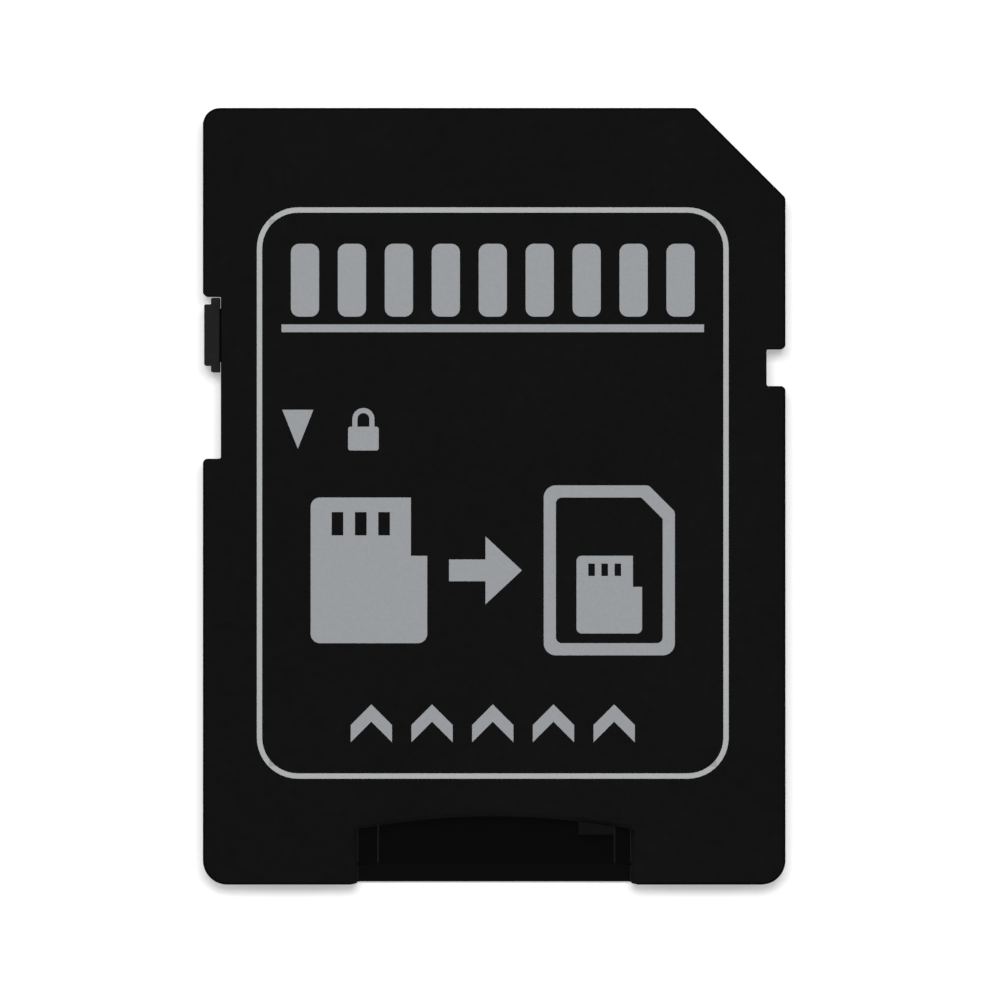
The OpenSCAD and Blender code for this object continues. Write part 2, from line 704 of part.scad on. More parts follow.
// One stamped strip: spring, root, fan-out and pad
module contact_strip(i) {
    pad = all_pads[STRIP_PADS[i]];
    x = spring_x(i);
    tail = pad_tail - pad[2];
    color([0.83, 0.68, 0.35]) union() {
        translate([0, 0, step_z]) linear_extrude(strip_t) union() {
            band([x, stop_y], [x, fan_start], strip_w);
            band([x, fan_start], [pad[0], tail - pad_neck_l], strip_w);
            band([pad[0], tail - pad_neck_l], [pad[0], tail], strip_w);
            band([pad[0], tail], [pad[0], tail + pad_l], pad[1]);
        }
        translate([x - spring_w / 2, 0, 0]) rotate([90, 0, 90]) linear_extrude(spring_w) spring_side();
    }
}

// Straight stretch of a strip, w wide across X
module band(from, to, w) {
    polygon([[from[0] - w / 2, from[1]], [from[0] + w / 2, from[1]],
        [to[0] + w / 2, to[1]], [to[0] - w / 2, to[1]]]);
}

// Side view of a spring, which rises to its crown and turns down at its tip
module spring_side() {
    lift = spring_rise - strip_t;
    tip_drop = step_z + lift - recess_floor - tip_clear;
    under = concat(
        [[stop_y + spring_w, step_z]],
        [for (k = [0 : SPRING_STEPS]) let (s = k / SPRING_STEPS)
            [stop_y - s * spring_reach, step_z + lift * (1 - cos(180 * s)) / 2]],
        [for (k = [1 : TIP_STEPS]) let (s = k / TIP_STEPS)
            [stop_y - spring_reach - s * tip_l, step_z + lift - tip_drop * s * s]]);
    polygon(concat(under, [for (k = [len(under) - 1 : -1 : 0]) under[k] + [0, strip_t]]));
}

// The ground strip's second branch, bridged over the two strips beside it
module ground_bridge() {
    bridge_y = plate_y - bridge_back;
    spring = spring_x(GROUND_STRIP);
    own_pad = all_pads[STRIP_PADS[GROUND_STRIP]][0];
    far_pad = all_pads[SECOND_GROUND_PAD][0];
    near = spring + (own_pad - spring) * (bridge_y - fan_start) / (fan_end - fan_start);
    left = near - strip_w / 2;
    right = far_pad + strip_w / 2;
    under = [[left, 0], [left + bridge_foot, 0], [left + bridge_foot + bridge_rise, bridge_rise],
        [right - bridge_foot - bridge_rise, bridge_rise], [right - bridge_foot, 0], [right, 0]];
    translate([0, bridge_y + strip_w / 2, step_z]) rotate([90, 0, 0]) linear_extrude(strip_w)
        polygon(concat(under, [for (k = [len(under) - 1 : -1 : 0]) under[k] + [0, strip_t]]));
    translate([0, 0, step_z]) linear_extrude(strip_t) {
        band([far_pad, bridge_y - strip_w / 2], [far_pad, pad_tail], strip_w);
        band([far_pad, pad_tail], [far_pad, pad_head], pad_w);
    }
}

module contact_data_2() contact_strip(0);
module contact_data_3() contact_strip(1);
module contact_command() contact_strip(2);
module contact_supply() contact_strip(3);
module contact_clock() contact_strip(4);
module contact_ground() union() {
    contact_strip(GROUND_STRIP);
    color([0.83, 0.68, 0.35]) ground_bridge();
}
module contact_data_0() contact_strip(6);
module contact_data_1() contact_strip(7);

print_left = -side_x + frame_from_lock;
print_right = side_x - frame_from_free;
print_top = head_y - frame_from_head;
print_low = tail_y + frame_from_tail;
frame_w = print_right - print_left;
frame_l = print_top - print_low;
frame_x = (print_left + print_right) / 2;
frame_y = (print_top + print_low) / 2;
comb_w = frame_w - 2 * comb_margin;

function sheet_corners(w, l, r) =
    [[-w / 2, -l / 2, r], [w / 2, -l / 2, r], [w / 2, l / 2, r], [-w / 2, l / 2, r]];

module front_print() color([0.62, 0.63, 0.64]) translate([0, 0, body_t]) linear_extrude(ink_t) {
    translate([frame_x, frame_y]) frame_mark();
    translate([print_left + arrow_from_frame + arrow_w / 2, print_top - arrow_from_top]) lock_arrow();
    translate([print_left + arrow_from_frame + arrow_w / 2 + padlock_from_arrow,
        print_top - arrow_from_top - arrow_l / 2]) padlock_mark();
    translate([frame_x, print_top - comb_from_top]) comb_mark();
    translate([frame_x, print_top - picture_from_top - picture_h / 2]) card_picture();
    translate([frame_x, print_low + chevron_from_edge]) chevrons();
}

module frame_mark() {
    difference() {
        outline(sheet_corners(frame_w, frame_l, frame_r));
        outline(sheet_corners(frame_w - 2 * frame_line, frame_l - 2 * frame_line, frame_r - frame_line));
    }
}

module lock_arrow() {
    polygon([[-arrow_w / 2, 0], [arrow_w / 2, 0], [0, -arrow_l]]);
}

// Closed padlock, with its middle at the origin
module padlock_mark() {
    bow_r = padlock_bow_w / 2;
    translate([0, (padlock_case_h - padlock_h) / 2])
        outline(sheet_corners(padlock_w, padlock_case_h, padlock_line / 2));
    translate([0, padlock_h / 2 - bow_r]) difference() {
        circle(r = bow_r, $fn = ROUND);
        circle(r = bow_r - padlock_line, $fn = ROUND);
        translate([-bow_r, -2 * bow_r]) square([2 * bow_r, 2 * bow_r]);
    }
    for (x = [-bow_r, bow_r - padlock_line])
        translate([x, padlock_case_h - padlock_h / 2])
            square([padlock_line, padlock_h - padlock_case_h - bow_r]);
}

// Row of upright bars over a thin rule, as the contacts on the back lie side by side
module comb_mark() {
    pitch = comb_w / comb_n;
    for (i = [0 : comb_n - 1])
        translate([(i - (comb_n - 1) / 2) * pitch, -comb_h / 2])
            outline(sheet_corners(comb_bar_w, comb_h, comb_bar_r));
    translate([-comb_w / 2, -comb_h - 2 * comb_rule]) square([comb_w, comb_rule]);
}

// The small card, an arrow and the adapter with the card in it
module card_picture() {
    translate([(small_card_w - picture_w) / 2, 0]) small_card(small_card_w, small_card_h);
    translate([(small_card_w - host_w) / 2, 0]) side_arrow(side_arrow_w, side_arrow_h);
    translate([(picture_w - host_w) / 2, 0]) {
        difference() {
            cut_card(host_w, picture_h, picture_line);
            cut_card(host_w - 2 * picture_line, picture_h - 2 * picture_line, picture_line / 2);
        }
        translate([0, -inner_card_drop]) small_card(inner_card_w, inner_card_h);
    }
}

// Card outline with one slanted corner
module cut_card(w, l, r) {
    cut = w * CARD_CUT;
    outline([[-w / 2, -l / 2, r], [w / 2, -l / 2, r], [w / 2, l / 2 - cut, r / 2],
        [w / 2 - cut, l / 2, r / 2], [-w / 2, l / 2, r]]);
}

// Small card with a stepped side and three clear contacts
module small_card(w, l) {
    step = w * CARD_STEP_W;
    mark_w = w * CARD_MARK_W;
    mark_l = l * CARD_MARK_L;
    difference() {
        outline(sheet_corners(w, l, w * CARD_ROUND));
        translate([w / 2 - step, l / 2 - l * CARD_STEP_L]) square([w, l]);
        for (i = [-1 : 1])
            translate([2 * i * mark_w - (step + mark_w) / 2, l / 2 - mark_l - l * CARD_MARK_FROM_TOP])
                square([mark_w, mark_l]);
    }
}

module side_arrow(w, l) {
    shaft = l * ARROW_SHAFT / 2;
    polygon([[-w / 2, -shaft], [0, -shaft], [0, -l / 2], [w / 2, 0],
        [0, l / 2], [0, shaft], [-w / 2, shaft]]);
}

// Row of arrowheads that point into the adapter
module chevrons() {
    half = chevron_w / 2;
    for (i = [0 : chevron_n - 1]) translate([(i - (chevron_n - 1) / 2) * chevron_pitch, 0]) polygon([
        [-half, 0], [0, half], [half, 0],
        [half, chevron_line], [0, half + chevron_line], [-half, chevron_line]]);
}

front_cover();
back_shell();
lock_slider();
lead_carrier();
contact_data_2();
contact_data_3();
contact_command();
contact_supply();
contact_clock();
contact_ground();
contact_data_0();
contact_data_1();
front_print();
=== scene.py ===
"""Looks of a flat memory card adapter, seen straight from above on a white table.

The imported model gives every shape, and this script gives the finishes: fine moulded grain, softened
mould edges, gold-plated strips and printed ink. It also sets the photo's light, table and camera.
"""

import logging
from dataclasses import dataclass, field
from enum import Enum
from math import pi, radians, tan

import bpy
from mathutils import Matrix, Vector


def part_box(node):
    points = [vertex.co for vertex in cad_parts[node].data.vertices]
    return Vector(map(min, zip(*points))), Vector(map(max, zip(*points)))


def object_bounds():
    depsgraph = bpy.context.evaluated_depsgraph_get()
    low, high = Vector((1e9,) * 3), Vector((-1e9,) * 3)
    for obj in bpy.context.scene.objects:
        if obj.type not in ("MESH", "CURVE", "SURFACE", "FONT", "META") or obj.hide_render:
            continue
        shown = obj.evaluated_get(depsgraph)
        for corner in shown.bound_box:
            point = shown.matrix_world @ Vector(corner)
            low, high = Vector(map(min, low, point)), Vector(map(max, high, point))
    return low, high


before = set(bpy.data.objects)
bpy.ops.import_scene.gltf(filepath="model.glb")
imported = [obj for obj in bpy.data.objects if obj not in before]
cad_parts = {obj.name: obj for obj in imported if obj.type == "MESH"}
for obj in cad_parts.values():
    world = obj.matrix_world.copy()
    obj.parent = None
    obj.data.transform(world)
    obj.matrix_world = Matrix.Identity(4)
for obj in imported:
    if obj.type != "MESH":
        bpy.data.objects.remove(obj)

CAD_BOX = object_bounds()
MM = 0.001
LOG = logging.getLogger("adapter")

# Points of a piece that lie closer together than this are one point.
WELD = 0.004 * MM
# Faces that meet at less than this, in degrees, are one flat face.
FLAT = 0.5
# Faces that meet at more than this, in degrees, keep a sharp edge in the shading.
CREASE = 40.0
# How far the shading follows the larger faces, in percent.
FACE_WEIGHT = 80
# The range that most values of a noise pattern fall in.
NOISE_SPAN = (0.3, 0.7)
# Numbers of finer layers in a noise pattern.
PLAIN, MIXED, FINE = 1.0, 2.0, 3.0
# Lifts the measure of a slope, which peaks at a quarter, to 1 over a whole rounding.
SLOPE_GAIN = 8.0

Rgb = tuple[float, float, float]
Socket = bpy.types.NodeSocket


class Finish(Enum):
    """The finishes in the scene, with the names that their materials get."""

    COVER = "black_grained_cover"
    BACK = "black_grained_back"
    SLIDER = "grey_smooth_slider"
    CARRIER = "grey_filled_carrier"
    GOLD = "gold_plated_strip"
    INK = "grey_printed_ink"
    TABLE = "white_table"


def grey(level: float) -> Rgb:
    """Return a neutral colour of the given linear level."""
    return (level, level, level)


@dataclass(frozen=True)
class Zone:
    """A box-shaped part of a piece, in metres, where its mould was finished another way."""

    low: tuple[float, float, float]
    high: tuple[float, float, float]


def tinted(colour: Rgb, change: float) -> Rgb:
    """Return a colour made lighter by a share, or darker by a negative one."""
    red, green, blue = colour
    return (red * (1.0 + change), green * (1.0 + change), blue * (1.0 + change))


class NodeBench:
    """A material's node tree, with short calls for the nodes that the finishes share."""

    def __init__(self, finish: Finish) -> None:
        """Start an empty material.

        Args:
            finish: The finish that it is to show.
        """
        self.material = bpy.data.materials.new(finish.value)
        self.material.use_nodes = True
        self.clear(self.material.node_tree, "ShaderNodeOutputMaterial")

    @classmethod
    def on(cls, tree: bpy.types.NodeTree, output: str) -> "NodeBench":
        """Return a bench on a tree that belongs to something other than a material."""
        bench = cls.__new__(cls)
        bench.clear(tree, output)
        return bench

    def clear(self, tree: bpy.types.NodeTree, output: str) -> None:
        """Empty a tree and give it its output node."""
        self.tree = tree
        self.tree.nodes.clear()
        self.output = self.add(output)

    def add(self, kind: str, **settings: object) -> bpy.types.Node:
        """Add a node.

        Args:
            kind: Blender's name for the node type.
            **settings: Values for the node's own attributes.

        Returns:
            The new node.
        """
        node = self.tree.nodes.new(kind)
        for key, value in settings.items():
            setattr(node, key, value)
        return node

    def link(self, source: Socket, target: Socket) -> None:
        """Join an output socket to an input socket."""
        self.tree.links.new(source, target)

    def place(self, stretch: tuple[float, float, float] = (1.0, 1.0, 1.0)) -> Socket:
        """Return the piece's own coordinates, in metres, scaled by a factor for each axis.

        Args:
            stretch: Factors for X, Y and Z.

        Returns:
            A vector socket.
        """
        coordinates = self.add("ShaderNodeTexCoord")
        mapping = self.add("ShaderNodeMapping")
        mapping.inputs["Scale"].default_value = stretch
        self.link(coordinates.outputs["Object"], mapping.inputs["Vector"])
        return mapping.outputs["Vector"]

    def noise(self, place: Socket, grain: float, detail: float = MIXED) -> Socket:
        """Return a noise pattern.

        Args:
            place: The coordinates that it is laid out in.
            grain: Size of its spots, in metres.
            detail: Number of finer layers in it.

        Returns:
            A value socket from 0 to 1.
        """
        node = self.add("ShaderNodeTexNoise")
        node.inputs["Scale"].default_value = 1.0 / grain
        node.inputs["Detail"].default_value = detail
        self.link(place, node.inputs["Vector"])
        return node.outputs["Fac"]

    def ramp(
        self, value: Socket, span: tuple[float, float], levels: tuple[float, float]
    ) -> Socket:
        """Return a level that goes evenly from one to another as a value crosses a span.

        Args:
            value: A value socket.
            span: The values at which the first and the second level are reached.
            levels: The first and the second level.

        Returns:
            A value socket.
        """
        node = self.add("ShaderNodeMapRange")
        for socket, number in zip(("From Min", "From Max", "To Min", "To Max"), (*span, *levels)):
            node.inputs[socket].default_value = number
        self.link(value, node.inputs["Value"])
        return node.outputs["Result"]

    def spread(self, pattern: Socket, low: float, high: float) -> Socket:
        """Return a noise pattern's middle range spread from one level to another.

        Args:
            pattern: A pattern from 0 to 1.
            low: Lowest level.
            high: Highest level.

        Returns:
            A value socket.
        """
        return self.ramp(pattern, NOISE_SPAN, (low, high))

    def blend(self, factor: Socket, one: Socket | Rgb, other: Socket | Rgb) -> Socket:
        """Return a colour that goes from one to another with a factor.

        Args:
            factor: A value socket from 0 to 1.
            one: Colour, or colour socket, at 0.
            other: Colour, or colour socket, at 1.

        Returns:
            A colour socket.
        """
        node = self.add("ShaderNodeMix", data_type="RGBA")
        colours = [socket for socket in node.inputs if socket.type == "RGBA"]
        for socket, colour in zip(colours, (one, other)):
            if isinstance(colour, tuple):
                socket.default_value = (*colour, 1.0)
            else:
                self.link(colour, socket)
        self.link(factor, node.inputs["Factor"])
        return next(socket for socket in node.outputs if socket.type == "RGBA")

    def sloped(self) -> Socket:
        """Return how far the surface slopes, from the Z of its normal.

        Returns:
            A value socket, 1 on a rounded edge and 0 where the surface is flat or upright.
        """
        axes = self.add("ShaderNodeSeparateXYZ")
        self.link(self.add("ShaderNodeTexCoord").outputs["Normal"], axes.inputs["Vector"])
        square = self.math("MULTIPLY", axes.outputs["Z"], axes.outputs["Z"])
        product = self.math("MULTIPLY", square, self.math("SUBTRACT", 1.0, square))
        return self.math("MINIMUM", self.math("MULTIPLY", product, SLOPE_GAIN), 1.0)

    def between(self, factor: Socket, one: Socket | float, other: float) -> Socket:
        """Return a level that goes from one to another with a factor.

        Args:
            factor: A value socket from 0 to 1.
            one: Level, or value socket, at 0.
            other: Level at 1.

        Returns:
            A value socket.
        """
        step = self.math("MULTIPLY", self.math("SUBTRACT", other, one), factor)
        return self.math("ADD", one, step)

    def inside(self, place: Socket, zone: Zone) -> Socket:
        """Return 1 inside a box-shaped zone and 0 outside it.

        Args:
            place: The piece's coordinates, in metres.
            zone: The box.

        Returns:
            A value socket.
        """
        axes = self.add("ShaderNodeSeparateXYZ")
        self.link(place, axes.inputs["Vector"])
        share: Socket | float = 1.0
        for axis, low, high in zip(("X", "Y", "Z"), zone.low, zone.high):
            share = self.math("MULTIPLY", share, self.math("GREATER_THAN", axes.outputs[axis], low))
            share = self.math("MULTIPLY", share, self.math("LESS_THAN", axes.outputs[axis], high))
        return share

    def math(self, operation: str, *values: Socket | float) -> Socket:
        """Return the result of one sum on sockets or plain numbers.

        Args:
            operation: Blender's name for the sum.
            *values: What goes into it, in order.

        Returns:
            A value socket.
        """
        node = self.add("ShaderNodeMath", operation=operation)
        for socket, value in zip(node.inputs, values):
            if isinstance(value, (int, float)):
                socket.default_value = value
            else:
                self.link(value, socket)
        return node.outputs["Value"]

    def bump(self, height: Socket, depth: float, strength: float) -> Socket:
        """Return a normal that a height pattern roughens.

        Args:
            height: A value socket from 0 to 1.
            depth: Height of the pattern, in metres.
            strength: How much of it shows, from 0 to 1.

        Returns:
            A normal socket.
        """
        node = self.add("ShaderNodeBump")
        node.inputs["Distance"].default_value = depth
        node.inputs["Strength"].default_value = strength
        self.link(height, node.inputs["Height"])
        return node.outputs["Normal"]

    def principled(self, **values: float) -> bpy.types.Node:
        """Add the surface shader with fixed values, joined to the output.

        Args:
            **values: Socket names with underscores for spaces, and their values.

        Returns:
            The shader node.
        """
        shader = self.add("ShaderNodeBsdfPrincipled")
        for key, value in values.items():
            shader.inputs[key.replace("_", " ")].default_value = value
        self.link(shader.outputs["BSDF"], self.output.inputs["Surface"])
        return shader


@dataclass
class Look:
    """What feeds a plastic's shader, as sockets or, for the gloss, as a plain level too."""

    colour: Socket
    rough: Socket
    pits: Socket
    gloss: Socket | float


@dataclass(frozen=True)
class PolishAndShade:
    """A smooth zone of a moulding, its colour painted darker as shade of the recess, with dull steep
    edges where it meets its dull zone.
    """

    zone: Zone
    dull: Zone
    # Colour level inside the zone, darker than the rest as painted shade of the recess.
    level: float = 0.0009
    rough: float = 0.05
    gloss: float = 0.3
    steep: float = 0.9
    dull_rough: float = 0.75
    dull_gloss: float = 0.08

    def apply(self, bench: NodeBench, place: Socket, look: Look) -> None:
        """Change a look inside the zone.

        Args:
            bench: The material's nodes.
            place: The piece's coordinates, in metres.
            look: What feeds the shader so far.
        """
        smooth = bench.inside(place, self.zone)
        edge = bench.math("GREATER_THAN", bench.sloped(), self.steep)
        dull = bench.math("MULTIPLY", edge, bench.inside(place, self.dull))
        # Painted shade: inside the zone the colour goes to the darker level, while smoothness and
        # gloss change for real.
        look.colour = bench.blend(smooth, look.colour, grey(self.level))
        look.rough = bench.between(smooth, look.rough, self.rough)
        look.rough = bench.between(dull, look.rough, self.dull_rough)
        look.gloss = bench.between(smooth, look.gloss, self.gloss)
        look.gloss = bench.between(dull, look.gloss, self.dull_gloss)
        look.pits = bench.math("MULTIPLY", look.pits, bench.math("SUBTRACT", 1.0, smooth))


@dataclass(frozen=True)
class MouldedPlastic:
    """Injection-moulded plastic with the fine grain of a spark-eroded mould.

    Its rounded edges get painted shade, a darker colour, and more roughness, apart from those in the
    kept zone.
    """

    finish: Finish
    level: float
    gloss: float = 0.05
    rough_low: float = 0.72
    rough_high: float = 0.84
    kept: Zone | None = None
    polish_and_shade: PolishAndShade | None = None
    # Share of the colour taken off rounded edges, as painted shade.
    edge_shade_share: float = 0.85
    edge_rough: float = 0.75
    grain: float = 0.07 * MM
    grain_depth: float = 0.004 * MM
    grain_strength: float = 0.35
    flow: float = 6.0 * MM
    flow_change: float = 0.08
    mottle: float = 0.45 * MM
    mottle_change: float = 0.12

    def build(self) -> bpy.types.Material:
        """Return the material: mottled colour, uneven gloss and a fine pitted surface."""
        bench = NodeBench(self.finish)
        place = bench.place()
        shader = bench.principled(Specular_IOR_Level=self.gloss)
        # Painted shade: rounded edges outside the kept zone get a darker colour, by the edge share,
        # and also more roughness.
        edge_shade_mask = bench.sloped()
        if self.kept is not None:
            open_edges = bench.math("SUBTRACT", 1.0, bench.inside(place, self.kept))
            edge_shade_mask = bench.math("MULTIPLY", edge_shade_mask, open_edges)
        painted_edge_shade = bench.math("MULTIPLY", edge_shade_mask, self.edge_shade_share)
        pits = bench.noise(place, self.grain, FINE)
        rough = bench.spread(pits, self.rough_low, self.rough_high)
        look = Look(
            colour=bench.blend(painted_edge_shade, self.mottled(bench, place), grey(0.0)),
            rough=bench.between(edge_shade_mask, rough, self.edge_rough),
            pits=pits,
            gloss=self.gloss,
        )
        if self.polish_and_shade is not None:
            self.polish_and_shade.apply(bench, place, look)
            bench.link(look.gloss, shader.inputs["Specular IOR Level"])
        bench.link(look.colour, shader.inputs["Base Color"])
        bench.link(look.rough, shader.inputs["Roughness"])
        normal = bench.bump(look.pits, self.grain_depth, self.grain_strength)
        bench.link(normal, shader.inputs["Normal"])
        return bench.material

    def mottled(self, bench: NodeBench, place: Socket) -> Socket:
        """Return the plastic's colour, with wide flow marks and finer spots.

        Args:
            bench: The material's nodes.
            place: The piece's coordinates, in metres.

        Returns:
            A colour socket.
        """
        flow = bench.spread(bench.noise(place, self.flow, PLAIN), 0.0, 1.0)
        spots = bench.spread(bench.noise(place, self.mottle, FINE), 0.0, 1.0)
        shades = []
        for change in (-self.flow_change, self.flow_change):
            shade = tinted(grey(self.level), change)
            pair = (tinted(shade, -self.mottle_change), tinted(shade, self.mottle_change))
            shades.append(bench.blend(spots, *pair))
        return bench.blend(flow, *shades)


@dataclass(frozen=True)
class GoldPlate:
    """Gold flash over rolled copper strip, with faint rolling lines along the strip."""

    finish: Finish = Finish.GOLD
    bright: Rgb = (0.95, 0.68, 0.30)
    deep: Rgb = (0.78, 0.50, 0.18)
    tint: float = 1.5 * MM
    line: float = 0.05 * MM
    line_stretch: float = 0.02
    line_depth: float = 0.0015 * MM
    line_strength: float = 0.4
    rough_low: float = 0.18
    rough_high: float = 0.36

    def build(self) -> bpy.types.Material:
        """Return the material: drawn-out lines in gloss and height, and slow changes of tint."""
        bench = NodeBench(self.finish)
        shader = bench.principled(Metallic=1.0)
        lines = bench.noise(bench.place((1.0, self.line_stretch, 1.0)), self.line)
        tint = bench.spread(bench.noise(bench.place(), self.tint), 0.0, 1.0)
        rough = bench.spread(lines, self.rough_low, self.rough_high)
        normal = bench.bump(lines, self.line_depth, self.line_strength)
        bench.link(bench.blend(tint, self.bright, self.deep), shader.inputs["Base Color"])
        bench.link(rough, shader.inputs["Roughness"])
        bench.link(normal, shader.inputs["Normal"])
        return bench.material


@dataclass(frozen=True)
class PanelInk:
    """Pad-printed grey ink, a little lighter in the frame's thin line."""

    finish: Finish = Finish.INK
    marks: Rgb = (0.318, 0.330, 0.344)
    line: Rgb = (0.420, 0.434, 0.430)
    line_zone: float = 0.5 * MM
    change: float = 0.04
    grain: float = 0.09 * MM
    gloss: float = 0.2
    rough: float = 0.55

    def build(self, low: Vector, high: Vector) -> bpy.types.Material:
        """Return the material.

        Args:
            low: Lowest corner of the print, in metres.
            high: Highest corner of the print, in metres.

        Returns:
            Ink whose colour is lighter within a narrow zone along the panel's outer edge.
        """
        bench = NodeBench(self.finish)
        shader = bench.principled(Specular_IOR_Level=self.gloss, Roughness=self.rough)
        axes = bench.add("ShaderNodeSeparateXYZ")
        bench.link(bench.place(), axes.inputs["Vector"])
        outside = []
        for axis, index in (("X", 0), ("Y", 1)):
            middle = (low[index] + high[index]) / 2
            half = (high[index] - low[index]) / 2 - self.line_zone
            offset = bench.math("ABSOLUTE", bench.math("SUBTRACT", axes.outputs[axis], middle))
            outside.append(bench.math("GREATER_THAN", offset, half))
        zone = bench.math("MAXIMUM", *outside)
        spots = bench.spread(bench.noise(bench.place(), self.grain), 0.0, 1.0)
        marks, line = (
            bench.blend(spots, tinted(shade, -self.change), tinted(shade, self.change))
            for shade in (self.marks, self.line)
        )
        bench.link(bench.blend(zone, marks, line), shader.inputs["Base Color"])
        return bench.material


@dataclass(frozen=True)
class WhiteTable:
    """Matt white table top that reads as plain white and keeps the adapter's shadow."""

    finish: Finish = Finish.TABLE
    level: float = 0.8
    seen_level: float = 0.98
    lift: float = 0.27

    def build(self) -> bpy.types.Material:
        """Return the material, brighter where the camera or a reflection sees it."""
        bench = NodeBench(self.finish)
        rays = bench.add("ShaderNodeLightPath")
        seen = bench.math("MAXIMUM", rays.outputs["Is Camera Ray"], rays.outputs["Is Glossy Ray"])
        seen = bench.math("MAXIMUM", seen, rays.outputs["Is Transmission Ray"])
        matt = bench.add("ShaderNodeBsdfDiffuse")
        bench.link(bench.blend(seen, grey(self.level), grey(self.seen_level)), matt.inputs["Color"])
        glow = bench.add("ShaderNodeEmission")
        bench.link(bench.math("MULTIPLY", seen, self.lift), glow.inputs["Strength"])
        both = bench.add("ShaderNodeAddShader")
        bench.link(matt.outputs["BSDF"], both.inputs[0])
        bench.link(glow.outputs["Emission"], both.inputs[1])
        bench.link(both.outputs["Shader"], bench.output.inputs["Surface"])
        return bench.material


def dress(node: str, material: bpy.types.Material) -> bpy.types.Object:
    """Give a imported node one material.

    Args:
        node: The node's name.
        material: What it is made of.

    Returns:
        The node's object.
    """
    piece = bpy.data.objects[node]
    piece.data.materials.clear()
    piece.data.materials.append(material)
    return piece


@dataclass(frozen=True)
class Rounding:
    """The rounding of a piece's hard edges, by modifiers that leave its mesh as packed."""

    width: float
    steps: int = 2
    corner: float = 28.0
    narrows: bool = True

    def apply(self, piece: bpy.types.Object) -> None:
        """Round the edges whose faces meet at more than the corner angle, in degrees."""
        joined = piece.modifiers.new("joined_faces", "WELD")
        joined.merge_threshold = WELD
        flat = piece.modifiers.new("flat_faces", "DECIMATE")
        flat.decimate_type = "DISSOLVE"
        flat.angle_limit = radians(FLAT)
        round_off = piece.modifiers.new("mould_edges", "BEVEL")
        round_off.width = self.width
        round_off.segments = self.steps
        round_off.limit_method = "ANGLE"
        round_off.angle_limit = radians(self.corner)
        round_off.use_clamp_overlap = self.narrows
        round_off.miter_outer = "MITER_ARC"
        creased = piece.modifiers.new("slope_edges", "EDGE_SPLIT")
        creased.split_angle = radians(CREASE)
        shading = piece.modifiers.new("even_shading", "WEIGHTED_NORMAL")
        shading.keep_sharp = False
        shading.weight = FACE_WEIGHT


@dataclass
class Shells:
    """The two moulded shells, with their parting line."""

    cover: str = "front_cover"
    back: str = "back_shell"
    edges: Rounding = Rounding(0.04 * MM, steps=3, corner=50.0, narrows=False)
    level: float = 0.0047
    notch_half: float = 5.85 * MM
    notch_deep: float = 3.1 * MM
    bay_half: float = 5.66 * MM
    bay_start: float = 0.14 * MM
    bay_deep: float = 15.1 * MM
    bay_floor: float = 0.15 * MM
    runner_ends: tuple[float, float] = (0.74 * MM, 0.87 * MM)
    runner_foot: float = 0.5 * MM

    def plastics(self) -> tuple[MouldedPlastic, MouldedPlastic]:
        """Return the cover's plastic and the back's, which is polished and painted darker as shade in
        its card bay.
        """
        low, high = Vector(CAD_BOX[0]), Vector(CAD_BOX[1])
        notch = Zone(
            (-self.notch_half, low.y, low.z),
            (self.notch_half, low.y + self.notch_deep, high.z),
        )
        bay = Zone(
            (-self.bay_half, low.y + self.bay_start, low.z + self.bay_floor),
            (self.bay_half, low.y + self.bay_deep, high.z),
        )
        near, far = (low.y + depth for depth in self.runner_ends)
        ends = Zone(
            (-self.bay_half, near, low.z + self.runner_foot),
            (self.bay_half, far, high.z),
        )
        # The cover's notch edges get no painted shade, and the back's card bay is painted darker as
        # shade.
        return (
            MouldedPlastic(Finish.COVER, self.level, kept=notch),
            MouldedPlastic(Finish.BACK, self.level, polish_and_shade=PolishAndShade(bay, dull=ends)),
        )

    def build(self) -> list[bpy.types.Object]:
        """Dress both shells and round their mould edges, which also opens the parting line."""
        cover_plastic, back_plastic = self.plastics()
        pieces = [dress(self.cover, cover_plastic.build()), dress(self.back, back_plastic.build())]
        for piece in pieces:
            self.edges.apply(piece)
        return pieces


@dataclass
class Slider:
    """The lock slider in its window."""

    node: str = "lock_slider"
    edges: Rounding = Rounding(0.02 * MM)
    plastic: MouldedPlastic = field(
        default_factory=lambda: MouldedPlastic(
            Finish.SLIDER, 0.0108, gloss=0.06, rough_low=0.56, rough_high=0.64, grain_strength=0.15
        )
    )

    def build(self) -> list[bpy.types.Object]:
        """Dress the slider and round its edges."""
        piece = dress(self.node, self.plastic.build())
        self.edges.apply(piece)
        return [piece]


@dataclass
class ContactSet:
    """The stamped strips and the carrier that clamps them."""

    strips: tuple[str, ...] = (
        "contact_data_2", "contact_data_3", "contact_command", "contact_supply",
        "contact_clock", "contact_ground", "contact_data_0", "contact_data_1",
    )
    carrier: str = "lead_carrier"
    edges: Rounding = Rounding(0.012 * MM, steps=1)
    gold: GoldPlate = field(default_factory=GoldPlate)
    plastic: MouldedPlastic = field(
        default_factory=lambda: MouldedPlastic(Finish.CARRIER, 0.012, grain_strength=0.2)
    )

    def build(self) -> list[bpy.types.Object]:
        """Dress the carrier and the strips, whose sheared edges are slightly rounded."""
        gold = self.gold.build()
        pieces = [dress(strip, gold) for strip in self.strips]
        for piece in pieces:
            self.edges.apply(piece)
        return [*pieces, dress(self.carrier, self.plastic.build())]


@dataclass
class PrintedPanel:
    """The ink on the label face."""

    node: str = "front_print"
    ink: PanelInk = field(default_factory=PanelInk)

    def build(self) -> list[bpy.types.Object]:
        """Dress the print, whose outer edge is the frame's line."""
        low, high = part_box(self.node)
        return [dress(self.node, self.ink.build(Vector(low), Vector(high)))]


